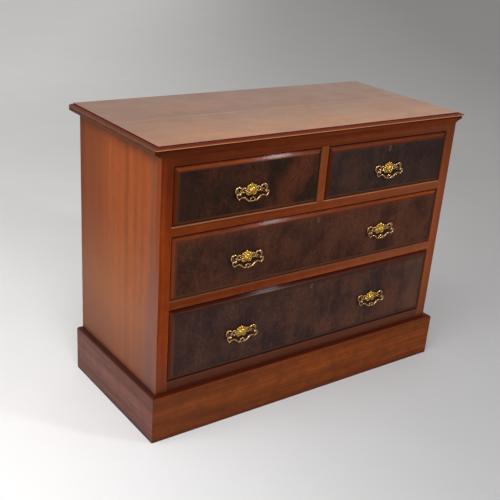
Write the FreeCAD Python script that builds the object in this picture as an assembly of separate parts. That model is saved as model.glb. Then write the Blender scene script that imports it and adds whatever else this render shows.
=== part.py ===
import FreeCAD, Part
import math
import os

# Chest of drawers in mahogany: two short drawers over two long ones, on a projecting plinth.
# Millimetres. X runs to the right along the front, Y to the back, Z up.
# The origin is on the floor, in the middle of the overall width and depth.

Vector = FreeCAD.Vector

# Carcass
carcass_width = 1036.0
carcass_depth = 452.0
side_thickness = 20.0
stile_width = 34.0
stile_thickness = 22.0
foot_relief = 4.0
divider_width = 22.0
arris_radius = 0.8

# Heights seen on the front, from the floor up
plinth_height = 140.0
bottom_rail_show = 30.0
lower_opening_height = 217.0
middle_opening_height = 182.0
upper_opening_height = 160.0
rail_height = 24.0
top_rail_height = 22.0
frieze_height = 21.5
top_thickness = 9.5

# Rails, runners, guides and stops inside the carcass
rail_depth = 60.0
bottom_rail_lap = 15.0
rear_rail_depth = 40.0
runner_height = 20.0
runner_width = 50.0
guide_height = 40.0
stop_width = 40.0
stop_depth = 12.0
stop_height = 6.0
stop_clearance = 0.3
stop_place_share = 0.22

# Plinth
plinth_thickness = 19.0
plinth_round = 6.0
plinth_rear_thickness = 18.0
glue_block_side = 35.0
glue_block_height = 100.0
middle_block_share = 0.33

# Top board with its moulded edge, and the strips under it
top_side_overhang = 22.0
top_front_overhang = 10.0
top_back_overhang = 24.0
moulding_inset = 14.0
moulding_quirk = 3.0
moulding_nose = 3.0
moulding_undercut = 3.0
moulding_crown_share = 0.72
top_joint_share = 0.507
frieze_depth = 26.0
frieze_proud = 1.5
cleat_width = 60.0
end_strip_reach = 21.0
end_strip_foot = 2.5
end_strip_hollow = 1.0
end_strip_lip = 11.0
end_strip_round = 3.5

# Back boards and their nails
back_thickness = 10.0
back_rebate = 10.0
back_board_count = 5
back_board_gap = 1.0
nail_radius = 1.2
nail_length = 26.0
nail_head_radius = 3.2
nail_head_height = 0.8
nail_edge_inset = 30.0

# Drawers
drawer_gap = 1.0
front_edge_thickness = 16.0
front_setback = 6.0
field_proud = 1.0
bevel_width = 14.0
veneer_thickness = 1.5
drawer_side_thickness = 11.0
drawer_side_drop = 3.0
drawer_back_thickness = 11.0
drawer_back_drop = 9.0
drawer_bottom_thickness = 6.0
drawer_bottom_height = 9.0
drawer_bottom_groove = 5.0
drawer_bottom_tail = 3.0
drawer_rear_clearance = 14.0
tail_depth = 11.0
tail_pitch = 38.0
tail_root_share = 0.5
tail_tip_share = 0.68

# Locks, one at the top middle of each drawer front
lock_width = 60.0
lock_height = 38.0
lock_depth = 12.0
bolt_width = 22.0
bolt_thickness = 5.0
bolt_height = 20.0
bolt_travel = 8.0
bolt_clearance = 0.2
mortise_clearance = 1.0
keyhole_drop = 27.0
keyhole_radius = 2.4
keyhole_slot_width = 2.2
keyhole_slot_length = 7.0
key_pin_radius = 1.0
key_well_depth = 6.0
liner_radius = 4.6
liner_foot_width = 6.0
liner_foot_length = 9.5

# Brass handles: a pierced plate, two posts with nuts behind, and a swinging bail
plate_thickness = 2.6
hub_radius_x = 15.0
hub_radius_z = 12.0
petal_radius = 4.0
petal_count = 10
petal_thickness = 4.0
dome_radius = 12.0
dome_height = 5.5
finial_radius = 3.4
finial_height = 17.5
finial_tip = 4.5
wing_centre_x = 35.5
wing_centre_z = 1.0
wing_radius_x = 16.0
wing_radius_z = 10.0
wing_wall = 4.2
wing_ball_radius = 2.6
wing_ball_inset = 6.0
link_radius = 4.4
boss_radius = 5.6
post_spacing = 84.0
post_drop = 6.0
post_stem_radius = 2.0
post_collar_radius = 4.4
post_collar_height = 3.2
post_neck_radius = 2.8
post_head_radius = 4.2
post_tip = 2.5
post_clearance = 0.2
nut_side = 9.0
nut_thickness = 3.5
bail_standoff = 11.0
bail_radius = 1.9
bail_pin_radius = 1.6
bail_pin_clearance = 0.08
bail_pin_length = 7.5
bail_shoulder = 0.8
bail_reach = 8.5
bail_leg_drop = 4.5
bail_cusp_drop = 14.0
bail_cusp_inset = 7.5
bail_arch_drop = 10.5
bail_arch_outer = 31.0
bail_arch_inner = 25.0
bail_bow_drop = 23.5
bail_bow_inner = 9.0
bail_corner_radius = 2.6
bail_curve_radius = 5.0
bail_loop_radius = 5.0
bail_loop_wire = 1.6
handle_drop_upper = 8.0
handle_drop_middle = 3.0
handle_drop_lower = 8.0

# One length by which every cutting tool runs past the wood that it cuts
overrun = 5.0

# Levels worked out from the sizes above
z_lower_bottom = plinth_height + bottom_rail_show
z_lower_top = z_lower_bottom + lower_opening_height
z_middle_bottom = z_lower_top + rail_height
z_middle_top = z_middle_bottom + middle_opening_height
z_upper_bottom = z_middle_top + rail_height
z_upper_top = z_upper_bottom + upper_opening_height
z_frieze_bottom = z_upper_top + top_rail_height
z_top_bottom = z_frieze_bottom + frieze_height
z_top = z_top_bottom + top_thickness
z_back_bottom = plinth_height - bottom_rail_lap

# Planes across the width
x_side_out = carcass_width / 2
x_side_in = x_side_out - side_thickness
x_opening = x_side_out - stile_width
x_divider = divider_width / 2

# Planes from front to back, with the overall depth centred on the origin
handle_reach = field_proud + bail_standoff + post_head_radius
front_reach = max(plinth_thickness, handle_reach, top_front_overhang)
overall_depth = front_reach + carcass_depth + top_back_overhang
y_front = front_reach - overall_depth / 2
y_back = y_front + carcass_depth
y_stile_back = y_front + stile_thickness
y_rail_back = y_front + rail_depth
y_board_front = y_back - back_thickness
y_rear_rail = y_board_front - rear_rail_depth
y_edge = y_front + front_setback
y_front_back = y_edge + front_edge_thickness
y_field = y_front - field_proud
y_substrate = y_field + veneer_thickness
y_drawer_rear = y_board_front - drawer_rear_clearance
y_bail = y_field - bail_standoff
y_bolt = y_front_back - lock_depth / 2
bevel_rise = y_edge - y_field
substrate_inset = bevel_width * (y_edge - y_substrate) / bevel_rise

# The four drawers: opening, places of the handles and how far these sit under the middle
short_centre = (x_opening + x_divider) / 2
drawers = [
    {"name": "upper_left", "x": (-x_opening, -x_divider), "z": (z_upper_bottom, z_upper_top),
     "handles": (-short_centre,), "drop": handle_drop_upper},
    {"name": "upper_right", "x": (x_divider, x_opening), "z": (z_upper_bottom, z_upper_top),
     "handles": (short_centre,), "drop": handle_drop_upper},
    {"name": "middle", "x": (-x_opening, x_opening), "z": (z_middle_bottom, z_middle_top),
     "handles": (-short_centre, short_centre), "drop": handle_drop_middle},
    {"name": "lower", "x": (-x_opening, x_opening), "z": (z_lower_bottom, z_lower_top),
     "handles": (-short_centre, short_centre), "drop": handle_drop_lower},
]


def box(x_pair, y_pair, z_pair):
    """A block between two planes on each axis."""
    size = Vector(x_pair[1] - x_pair[0], y_pair[1] - y_pair[0], z_pair[1] - z_pair[0])
    return Part.makeBox(size.x, size.y, size.z, Vector(x_pair[0], y_pair[0], z_pair[0]))


def around(centre, width):
    """The two planes that lie evenly about a centre."""
    return (centre - width / 2, centre + width / 2)


def prism(points, reach):
    """A closed polygon of points, swept along the vector reach."""
    wire = Part.makePolygon(points + [points[0]])
    return Part.Face(wire).extrude(reach)


def rod_y(radius, x, z, y_start, y_end):
    """A round rod along Y between two planes."""
    return Part.makeCylinder(radius, y_end - y_start, Vector(x, y_start, z), Vector(0, 1, 0))


def mirrored(shape):
    """The same piece on the other side of the middle of the chest or handle."""
    return shape.mirror(Vector(0, 0, 0), Vector(1, 0, 0))


def joined(shapes):
    """Several overlapping shapes as one solid with clean faces."""
    return shapes[0].multiFuse(shapes[1:]).removeSplitter()


def eased(solid, radius, wanted):
    """Round the straight edges that the test picks by their two ends."""
    edges = [edge for edge in solid.Edges if len(edge.Vertexes) == 2
             and wanted(edge.Vertexes[0].Point, edge.Vertexes[1].Point)]
    return solid.makeFillet(radius, edges)


def same(first, second):
    """Whether two places agree, within a small part of the arris radius."""
    return abs(first - second) < arris_radius / 100


def save(node, pieces):
    """Write one node: a single solid, or a group of separate solids."""
    shape = pieces[0] if len(pieces) == 1 else Part.makeCompound(pieces)
    shape.exportStep("parts/" + node + ".step")


# Carcass

def side_panel():
    """The right side panel, rebated at the back for the back boards."""
    panel = box((x_side_in, x_side_out), (y_stile_back, y_back), (foot_relief, z_frieze_bottom))
    rebate = box((x_side_in - overrun, x_side_in + back_rebate), (y_board_front, y_back + overrun),
                 (z_back_bottom, z_frieze_bottom + overrun))
    panel = panel.cut(rebate)
    return eased(panel, arris_radius, lambda a, b: same(a.x, x_side_out) and same(b.x, x_side_out)
                 and same(a.y, y_back) and same(b.y, y_back))


def stile():
    """The right front stile, which faces the edge of the side panel."""
    post = box((x_opening, x_side_out), (y_front, y_stile_back), (foot_relief, z_frieze_bottom))
    return eased(post, arris_radius, lambda a, b: same(a.y, y_front) and same(b.y, y_front)
                 and same(a.x, b.x))


def front_rail(z_low, z_high):
    """A rail between the stiles that widens behind them to reach the side panels."""
    face = box((-x_opening, x_opening), (y_front, y_rail_back), (z_low, z_high))
    face = eased(face, arris_radius, lambda a, b: same(a.y, y_front) and same(b.y, y_front)
                 and same(a.z, b.z))
    wide = box((-x_side_in, x_side_in), (y_stile_back, y_rail_back), (z_low, z_high))
    return joined([face, wide])


def bolt_mortise(drawer):
    """The hollow over a drawer that its lock bolt rises into."""
    middle = sum(drawer["x"]) / 2
    opening_top = drawer["z"][1]
    return box(around(middle, bolt_width + 2 * mortise_clearance),
               around(y_bolt, bolt_thickness + 2 * mortise_clearance),
               (opening_top - overrun, opening_top + bolt_travel + mortise_clearance))


def front_rails():
    """Top rail, two drawer rails and bottom rail, with a mortise over each lock."""
    levels = [(z_upper_top, z_frieze_bottom), (z_middle_top, z_upper_bottom),
              (z_lower_top, z_middle_bottom), (z_back_bottom, z_lower_bottom)]
    rails = [front_rail(low, high) for low, high in levels]
    mortises = Part.makeCompound([bolt_mortise(drawer) for drawer in drawers])
    return [rail.cut(mortises).Solids[0] for rail in rails]


def divider():
    """The short upright between the two upper drawers."""
    upright = box((-x_divider, x_divider), (y_front, y_rail_back), (z_upper_bottom, z_upper_top))
    return eased(upright, arris_radius, lambda a, b: same(a.y, y_front) and same(b.y, y_front)
                 and same(a.x, b.x))


def side_strip(width, z_pair):
    """A strip along the inside of the right side panel, from the front rails to the rear rails."""
    return box((x_side_in - width, x_side_in), (y_rail_back, y_rear_rail), z_pair)


def runners():
    """Strips that the drawers slide on: a pair at each level and one under the divider."""
    pieces = []
    for level in (z_lower_bottom, z_middle_bottom, z_upper_bottom):
        strip = side_strip(runner_width, (level - runner_height, level))
        pieces += [strip, mirrored(strip)]
    pieces.append(box(around(0, runner_width), (y_rail_back, y_rear_rail),
                      (z_upper_bottom - runner_height, z_upper_bottom)))
    return pieces


def kickers():
    """Strips over the upper drawers that stop them from tipping down when open."""
    side = side_strip(runner_width, (z_upper_top, z_frieze_bottom))
    middle = box(around(0, runner_width), (y_rail_back, y_rear_rail), (z_upper_top, z_frieze_bottom))
    return [side, mirrored(side), middle]


def guides():
    """Strips that keep the drawers in line, between the stiles' inner plane and the side panels."""
    pieces = []
    for level in (z_lower_bottom, z_middle_bottom, z_upper_bottom):
        strip = box((x_opening, x_side_in), (y_stile_back, y_rear_rail), (level, level + guide_height))
        pieces += [strip, mirrored(strip)]
    pieces.append(box((-x_divider, x_divider), (y_rail_back, y_rear_rail),
                      (z_upper_bottom, z_upper_bottom + guide_height)))
    return pieces


def rear_rails():
    """Cross rails in front of the back boards, which carry the runners' rear ends."""
    levels = [(z_upper_top, z_frieze_bottom)]
    levels += [(level - runner_height, level) for level in (z_upper_bottom, z_middle_bottom, z_lower_bottom)]
    rails = [box((-x_side_in, x_side_in), (y_rear_rail, y_board_front), level) for level in levels]
    holes = Part.makeCompound([nail(x, z) for x, z in nail_places()])
    return [rail.cut(holes).Solids[0] for rail in rails]


def stops():
    """Two small blocks on the rail under each drawer that its front comes to rest against."""
    pieces = []
    y_stop = y_front_back + stop_clearance
    for drawer in drawers:
        x_low, x_high = drawer["x"]
        inset = (x_high - x_low) * stop_place_share
        for centre in (x_low + inset, x_high - inset):
            level = drawer["z"][0]
            pieces.append(box(around(centre, stop_width), (y_stop, y_stop + stop_depth),
                              (level, level + stop_height)))
    return pieces


# Back

def back_board_spans():
    """Left and right edges of the upright back boards, which share the rebated width."""
    total = 2 * (x_side_in + back_rebate)
    width = (total - back_board_gap * (back_board_count - 1)) / back_board_count
    step = width + back_board_gap
    return [(index * step - total / 2, index * step - total / 2 + width) for index in range(back_board_count)]


def nail_places():
    """Places of the nails: two through each board into each of the four rear rails."""
    levels = [(z_upper_top + z_frieze_bottom) / 2]
    levels += [level - runner_height / 2 for level in (z_upper_bottom, z_middle_bottom, z_lower_bottom)]
    return [(x, z) for low, high in back_board_spans() for x in (low + nail_edge_inset, high - nail_edge_inset)
            for z in levels]


def nail(x, z):
    """A wire nail with a flat head, driven in from the back and flush with the boards."""
    shank = rod_y(nail_radius, x, z, y_back - nail_length, y_back)
    head = rod_y(nail_head_radius, x, z, y_back - nail_head_height, y_back)
    return joined([shank, head])


def back_boards():
    """Upright boards nailed over the back."""
    holes = Part.makeCompound([nail(x, z) for x, z in nail_places()])
    boards = [box(span, (y_board_front, y_back), (z_back_bottom, z_frieze_bottom)) for span in back_board_spans()]
    return [board.cut(holes).Solids[0] for board in boards]


# Plinth

def plinth_section(out, across):
    """Outline of a plinth board, its back on the carcass, its upper outer edge rounded."""
    def at(distance, height):
        return out * distance + Vector(0, 0, height)
    shoulder = plinth_thickness - plinth_round
    neck = plinth_height - plinth_round
    middle = plinth_round * math.sqrt(0.5)
    edges = [Part.makeLine(at(0, plinth_height), at(0, 0)),
             Part.makeLine(at(0, 0), at(plinth_thickness, 0)),
             Part.makeLine(at(plinth_thickness, 0), at(plinth_thickness, neck)),
             Part.Arc(at(plinth_thickness, neck), at(shoulder + middle, neck + middle),
                      at(shoulder, plinth_height)).toShape(),
             Part.makeLine(at(shoulder, plinth_height), at(0, plinth_height))]
    return Part.Face(Part.Wire(edges)).extrude(across)


def mitre_wedge():
    """The space outside the right front mitre: everything on the side board's part of the corner."""
    far = carcass_depth + plinth_thickness + overrun
    corner = Vector(x_side_out, y_front, -overrun)
    points = [corner, corner + Vector(plinth_thickness + overrun, -plinth_thickness - overrun, 0),
              corner + Vector(plinth_thickness + overrun, far, 0), corner + Vector(0, far, 0)]
    return prism(points, Vector(0, 0, plinth_height + 2 * overrun))


def plinth_front():
    """The front plinth board, mitred at both ends."""
    width = carcass_width + 2 * plinth_thickness
    board = plinth_section(Vector(0, -1, 0), Vector(width, 0, 0))
    board.translate(Vector(-width / 2, y_front, 0))
    wedge = mitre_wedge()
    return board.cut(wedge).cut(mirrored(wedge)).Solids[0]


def plinth_side():
    """The right plinth board, mitred at its front end."""
    length = carcass_depth + plinth_thickness
    board = plinth_section(Vector(1, 0, 0), Vector(0, length, 0))
    board.translate(Vector(x_side_out, y_back - length, 0))
    return board.common(mitre_wedge()).Solids[0]


def plinth_rear():
    """A plain board between the side panels, under the back boards."""
    return box((-x_side_in, x_side_in), (y_back - plinth_rear_thickness, y_back), (foot_relief, z_back_bottom))


def glue_blocks():
    """Blocks rubbed into the corners of the plinth and behind its front board."""
    top = foot_relief + glue_block_height
    front = box((x_side_in - glue_block_side, x_side_in), (y_stile_back, y_stile_back + glue_block_side),
                (foot_relief, top))
    y_rear = y_back - plinth_rear_thickness
    rear = box((x_side_in - glue_block_side, x_side_in), (y_rear - glue_block_side, y_rear), (foot_relief, top))
    middle = box(around(x_side_out * middle_block_share, glue_block_side), (y_front, y_front + glue_block_side),
                 (z_back_bottom - glue_block_height, z_back_bottom))
    return [piece for block in (front, rear, middle) for piece in (block, mirrored(block))]


# Top

def moulded_edge(outer, inner, out, along):
    """A slab with the moulding of the top on its outer edge, from the plane outer to the plane inner."""
    def at(distance, height):
        return out * distance + Vector(0, 0, height)
    nose = z_top_bottom + moulding_nose
    quirk = z_top - moulding_quirk
    rise = quirk - nose
    lip = moulding_undercut * (1 - math.sqrt(0.5))
    edges = [Part.makeLine(at(inner, z_top), at(inner, z_top_bottom)),
             Part.makeLine(at(inner, z_top_bottom), at(outer - moulding_undercut, z_top_bottom)),
             Part.Arc(at(outer - moulding_undercut, z_top_bottom), at(outer - lip, z_top_bottom + lip),
                      at(outer, nose)).toShape(),
             Part.Arc(at(outer, nose),
                      at(outer - moulding_inset * (1 - moulding_crown_share), nose + rise * moulding_crown_share),
                      at(outer - moulding_inset, quirk)).toShape(),
             Part.makeLine(at(outer - moulding_inset, quirk), at(outer - moulding_inset, z_top)),
             Part.makeLine(at(outer - moulding_inset, z_top), at(inner, z_top))]
    return Part.Face(Part.Wire(edges)).extrude(along)


def top_slab():
    """The top, moulded along the front and both ends, with mitred corners."""
    half = x_side_out + top_side_overhang
    depth = top_front_overhang + carcass_depth + top_back_overhang
    y_top_front = y_front - top_front_overhang
    right = moulded_edge(half, 0, Vector(1, 0, 0), Vector(0, depth, 0))
    right.translate(Vector(0, y_top_front, 0))
    ends = joined([right, mirrored(right)])
    front = moulded_edge(-y_top_front, -y_top_front - depth, Vector(0, -1, 0), Vector(2 * half, 0, 0))
    front.translate(Vector(-half, 0, 0))
    return ends.common(front).Solids[0]


def top_boards():
    """Two boards edge to edge that make up the top."""
    slab = top_slab()
    limits = slab.BoundBox
    y_joint = limits.YMin + limits.YLength * top_joint_share
    x_pair = (limits.XMin - overrun, limits.XMax + overrun)
    z_pair = (limits.ZMin - overrun, limits.ZMax + overrun)
    front = slab.common(box(x_pair, (limits.YMin - overrun, y_joint), z_pair))
    rear = slab.common(box(x_pair, (y_joint, limits.YMax + overrun), z_pair))
    return [front.Solids[0], rear.Solids[0]]


def frieze():
    """The strip under the front of the top, which runs over the stiles and shows its end grain."""
    strip = box((-x_side_out, x_side_out), (y_front - frieze_proud, y_front - frieze_proud + frieze_depth),
                (z_frieze_bottom, z_top_bottom))
    return eased(strip, arris_radius, lambda a, b: same(a.y, y_front - frieze_proud)
                 and same(b.y, a.y) and same(a.z, z_frieze_bottom) and same(b.z, a.z))


def end_strip():
    """The moulded part of an end strip that shows under the overhang of the top."""
    y_start = y_front - frieze_proud
    length = y_back + top_back_overhang - y_start

    def at(reach, height):
        return Vector(x_side_out + reach, y_start, height)
    z_lip = z_top_bottom - end_strip_lip
    z_foot = z_frieze_bottom + end_strip_foot
    inner = end_strip_reach - end_strip_round
    bend = end_strip_round * (1 - math.sqrt(0.5))
    edges = [Part.makeLine(at(0, z_top_bottom), at(0, z_foot)),
             Part.Arc(at(0, z_foot), at(inner / 2 - end_strip_hollow / 2, (z_foot + z_lip) / 2 + end_strip_hollow),
                      at(inner, z_lip)).toShape(),
             Part.Arc(at(inner, z_lip), at(end_strip_reach - bend, z_lip + bend),
                      at(end_strip_reach, z_lip + end_strip_round)).toShape(),
             Part.makeLine(at(end_strip_reach, z_lip + end_strip_round), at(end_strip_reach, z_top_bottom)),
             Part.makeLine(at(end_strip_reach, z_top_bottom), at(0, z_top_bottom))]
    return Part.Face(Part.Wire(edges)).extrude(Vector(0, length, 0))


def cleats():
    """The strips under the ends and the back of the top. Those at the ends show, moulded, beyond the sides."""
    y_start = y_front - frieze_proud + frieze_depth
    z_pair = (z_frieze_bottom, z_top_bottom)
    hidden = box((x_side_out - cleat_width, x_side_out), (y_start, y_back), z_pair)
    end = joined([hidden, end_strip()]).Solids[0]
    rear = box((cleat_width - x_side_out, x_side_out - cleat_width), (y_back - cleat_width, y_back), z_pair)
    return [end, mirrored(end), rear]


# Drawers

def front_outline(drawer):
    """The drawer front's width and height inside its opening."""
    x_pair = (drawer["x"][0] + drawer_gap, drawer["x"][1] - drawer_gap)
    z_pair = (drawer["z"][0] + drawer_gap, drawer["z"][1] - drawer_gap)
    return x_pair, z_pair


def rectangle(x_pair, z_pair, inset, y):
    """A rectangular wire in a plane across Y, drawn in from its outline."""
    x_low, x_high = x_pair[0] + inset, x_pair[1] - inset
    z_low, z_high = z_pair[0] + inset, z_pair[1] - inset
    corners = [Vector(x_low, y, z_low), Vector(x_high, y, z_low), Vector(x_high, y, z_high),
               Vector(x_low, y, z_high)]
    return Part.makePolygon(corners + [corners[0]])


def tapered(x_pair, z_pair, start, end):
    """A slab whose outline draws in from the first (inset, y) to the second."""
    wires = [rectangle(x_pair, z_pair, inset, y) for inset, y in (start, end)]
    return Part.makeLoft(wires, True, True)


def lock_pocket(drawer):
    """The pocket in the back of a drawer front that its lock fills."""
    x_pair, z_pair = front_outline(drawer)
    middle = sum(x_pair) / 2
    return box(around(middle, lock_width), (y_front_back - lock_depth, y_front_back),
               (z_pair[1] - lock_height, z_pair[1]))


def keyhole(drawer, y_start, y_end):
    """The keyhole, a round hole with a slot under it, between two planes."""
    middle = sum(drawer["x"]) / 2
    level = drawer["z"][1] - keyhole_drop
    slot = box(around(middle, keyhole_slot_width), (y_start, y_end), (level - keyhole_slot_length, level))
    return joined([rod_y(keyhole_radius, middle, level, y_start, y_end), slot])


def liner_blank(drawer):
    """The outline of the brass keyhole liner, let in flush with the field."""
    middle = sum(drawer["x"]) / 2
    level = drawer["z"][1] - keyhole_drop
    foot = box(around(middle, liner_foot_width), (y_field, y_substrate), (level - liner_foot_length, level))
    return joined([rod_y(liner_radius, middle, level, y_field, y_substrate), foot])


def handle_places(drawer):
    """Centres of the handles on a drawer."""
    level = sum(drawer["z"]) / 2 - drawer["drop"]
    return [(x, level) for x in drawer["handles"]]


def post_places(drawer):
    """Places of the handle posts on a drawer, two for each handle."""
    return [(x + side * post_spacing / 2, z - post_drop) for x, z in handle_places(drawer) for side in (-1, 1)]


def post_holes(drawer):
    """Clearance holes for the posts through the front and its veneer."""
    rods = [rod_y(post_stem_radius + post_clearance, x, z, y_field - overrun, y_front_back + overrun)
            for x, z in post_places(drawer)]
    return Part.makeCompound(rods)


def side_levels(drawer):
    """Lower and upper edge of the drawer sides, which ride on the runners."""
    return drawer["z"][0], drawer["z"][1] - drawer_gap - drawer_side_drop


def dovetails(x_pair, z_pair, y_root, y_tip):
    """A row of dovetails through the thickness of a drawer side, which spread from root to tip."""
    count = max(1, int((z_pair[1] - z_pair[0]) // tail_pitch))
    step = (z_pair[1] - z_pair[0]) / count
    root = step * tail_root_share / 2
    tip = step * tail_tip_share / 2
    pieces = []
    for index in range(count):
        centre = z_pair[0] + step * (index + 0.5)
        points = [Vector(x_pair[0], y_root, centre - root), Vector(x_pair[0], y_tip, centre - tip),
                  Vector(x_pair[0], y_tip, centre + tip), Vector(x_pair[0], y_root, centre + root)]
        pieces.append(prism(points, Vector(x_pair[1] - x_pair[0], 0, 0)))
    return pieces


def front_tails(drawer, x_pair):
    """The dovetails at the front end of a drawer side, which stop short of the face of the front."""
    z_pair = (drawer["z"][0] + drawer_gap, side_levels(drawer)[1])
    return dovetails(x_pair, z_pair, y_front_back, y_front_back - tail_depth)


def back_levels(drawer):
    """Lower and upper edge of the drawer back, which stands on the bottom."""
    return (drawer["z"][0] + drawer_bottom_height + drawer_bottom_thickness,
            side_levels(drawer)[1] - drawer_back_drop)


def back_pins(drawer, x_pair):
    """What the drawer back holds between the dovetails at the rear end of a side."""
    y_pair = (y_drawer_rear - drawer_back_thickness, y_drawer_rear)
    z_pair = back_levels(drawer)
    return box(x_pair, y_pair, z_pair).cut(dovetails(x_pair, z_pair, y_pair[0], y_pair[1]))


def side_spans(drawer):
    """The two sides' thickness along X."""
    x_pair, _ = front_outline(drawer)
    return ((x_pair[0], x_pair[0] + drawer_side_thickness), (x_pair[1] - drawer_side_thickness, x_pair[1]))


def bottom_panel(drawer):
    """The thin bottom, held in grooves in the sides and the front."""
    left, right = side_spans(drawer)
    level = drawer["z"][0] + drawer_bottom_height
    return box((left[1] - drawer_bottom_groove, right[0] + drawer_bottom_groove),
               (y_front_back - drawer_bottom_groove, y_drawer_rear + drawer_bottom_tail),
               (level, level + drawer_bottom_thickness))


def drawer_sides(drawer):
    """The two sides with their dovetails and grooves."""
    pieces = []
    for span in side_spans(drawer):
        board = box(span, (y_front_back, y_drawer_rear), side_levels(drawer))
        board = joined([board] + front_tails(drawer, span))
        pieces.append(board.cut([bottom_panel(drawer), back_pins(drawer, span)]).Solids[0])
    return pieces


def drawer_front(drawer):
    """The mahogany front: bevelled all round, socketed for the sides, bored for lock and posts."""
    x_pair, z_pair = front_outline(drawer)
    body = joined([box(x_pair, (y_edge, y_front_back), z_pair),
                   tapered(x_pair, z_pair, (0, y_edge), (substrate_inset, y_substrate))])
    sockets = [tail for span in side_spans(drawer) for tail in front_tails(drawer, span)]
    cutters = sockets + [bottom_panel(drawer), lock_pocket(drawer), post_holes(drawer),
                         keyhole(drawer, y_substrate - overrun, y_front_back)]
    return body.cut(cutters).Solids[0]


def drawer_field(drawer):
    """The raised field of figured veneer, whose edges carry on the bevel of the front."""
    x_pair, z_pair = front_outline(drawer)
    panel = tapered(x_pair, z_pair, (substrate_inset, y_substrate), (bevel_width, y_field))
    return panel.cut([liner_blank(drawer), post_holes(drawer)]).Solids[0]


def drawer_back(drawer):
    """The back, on top of the bottom, dovetailed between the sides."""
    left, right = side_spans(drawer)
    board = box((left[1], right[0]), (y_drawer_rear - drawer_back_thickness, y_drawer_rear), back_levels(drawer))
    return joined([board, back_pins(drawer, left), back_pins(drawer, right)]).Solids[0]


# Locks

def bolt_box(drawer, clearance):
    """The lock bolt at rest, or with a clearance the channel that it slides in."""
    x_pair, z_pair = front_outline(drawer)
    middle = sum(x_pair) / 2
    top = z_pair[1]
    return box(around(middle, bolt_width + 2 * clearance), around(y_bolt, bolt_thickness + 2 * clearance),
               (top - bolt_height, top))


def lock_and_liner(drawer):
    """The lock's case with its bolt channel and key well, and the keyhole liner."""
    y_case = y_front_back - lock_depth
    middle = sum(drawer["x"]) / 2
    level = drawer["z"][1] - keyhole_drop
    well = keyhole(drawer, y_case, y_case + key_well_depth)
    pin = rod_y(key_pin_radius, middle, level, y_case, y_case + key_well_depth)
    case = lock_pocket(drawer).cut([bolt_box(drawer, bolt_clearance), well.cut(pin)])
    liner = liner_blank(drawer).cut(keyhole(drawer, y_field - overrun, y_substrate + overrun))
    return [case.Solids[0], liner.Solids[0]]


# Handles, drawn about their own centre on the face of the field, with the front towards minus Y

def oval(radius_x, radius_z, x, z, thickness):
    """An upright oval plate that stands forward of the field."""
    outline = Part.Ellipse(Vector(0, 0, 0), radius_x, radius_z).toShape()
    plate = Part.Face(Part.Wire([outline])).extrude(Vector(0, 0, thickness))
    plate.rotate(Vector(0, 0, 0), Vector(1, 0, 0), 90)
    plate.translate(Vector(x, 0, z))
    return plate


def dome():
    """The domed middle of the plate."""
    sphere_radius = (dome_radius ** 2 + dome_height ** 2) / (2 * dome_height)
    ball = Part.makeSphere(sphere_radius, Vector(0, sphere_radius - dome_height - petal_thickness, 0))
    reach = (-sphere_radius, sphere_radius)
    return ball.common(box(reach, (-petal_thickness - dome_height - overrun, -plate_thickness / 2), reach))


def plate_wing():
    """The open scroll at the right of the plate, with its ball and the boss for a post."""
    ring = oval(wing_radius_x, wing_radius_z, wing_centre_x, wing_centre_z, plate_thickness)
    eye = oval(wing_radius_x - wing_wall, wing_radius_z - wing_wall, wing_centre_x, wing_centre_z,
               plate_thickness)
    link = rod_y(link_radius, hub_radius_x + petal_radius, 0, -petal_thickness, 0)
    ball = rod_y(wing_ball_radius, wing_centre_x - wing_ball_inset, wing_centre_z - wing_ball_inset,
                 -petal_thickness, 0)
    boss = rod_y(boss_radius, post_spacing / 2, -post_drop, -plate_thickness, 0)
    return [ring.cut(eye), link, ball, boss]


def plate_petals():
    """The scalloped rim around the dome."""
    pieces = [oval(hub_radius_x, hub_radius_z, 0, 0, plate_thickness)]
    for index in range(petal_count):
        angle = 2 * math.pi * (index + 0.5) / petal_count
        pieces.append(rod_y(petal_radius, hub_radius_x * math.cos(angle), hub_radius_z * math.sin(angle),
                            -petal_thickness, 0))
    return pieces


def plate_finial():
    """The pointed tip over the dome."""
    knob = rod_y(finial_radius, 0, finial_height, -petal_thickness, 0)
    neck = box(around(0, finial_radius), (-plate_thickness, 0), (hub_radius_z, finial_height))
    spread = finial_radius * math.sqrt(0.5)
    shoulder = finial_height + spread
    points = [Vector(-spread, 0, shoulder), Vector(spread, 0, shoulder), Vector(0, 0, finial_height + finial_tip)]
    return [knob, neck, prism(points, Vector(0, -plate_thickness, 0))]


def plate():
    """The pierced plate as one casting."""
    wing = plate_wing()
    shapes = plate_petals() + plate_finial() + wing + [mirrored(piece) for piece in wing] + [dome()]
    bores = [rod_y(post_stem_radius + post_clearance, side * post_spacing / 2, -post_drop,
                   -plate_thickness - overrun, overrun) for side in (-1, 1)]
    return joined(shapes).cut(bores).Solids[0]


def post(x):
    """A post: threaded stem, collar, neck and ball head with a cross hole for the bail."""
    stem_end = y_front_back - y_field + nut_thickness + post_tip
    collar_front = -plate_thickness - post_collar_height
    shapes = [Part.makeSphere(post_head_radius, Vector(x, -bail_standoff, -post_drop)),
              rod_y(post_neck_radius, x, -post_drop, -bail_standoff, collar_front),
              rod_y(post_collar_radius, x, -post_drop, collar_front, -plate_thickness),
              rod_y(post_stem_radius, x, -post_drop, -plate_thickness, stem_end)]
    cross = Part.makeCylinder(bail_pin_radius + bail_pin_clearance, 2 * (post_head_radius + overrun),
                              Vector(x - post_head_radius - overrun, -bail_standoff, -post_drop),
                              Vector(1, 0, 0))
    return joined(shapes).cut(cross).Solids[0]


def nut(x):
    """A square nut on the stem, against the back of the drawer front."""
    y_start = y_front_back - y_field
    block = box(around(x, nut_side), (y_start, y_start + nut_thickness), around(-post_drop, nut_side))
    hole = rod_y(post_stem_radius, x, -post_drop, y_start - overrun, y_start + nut_thickness + overrun)
    return block.cut(hole)


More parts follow.
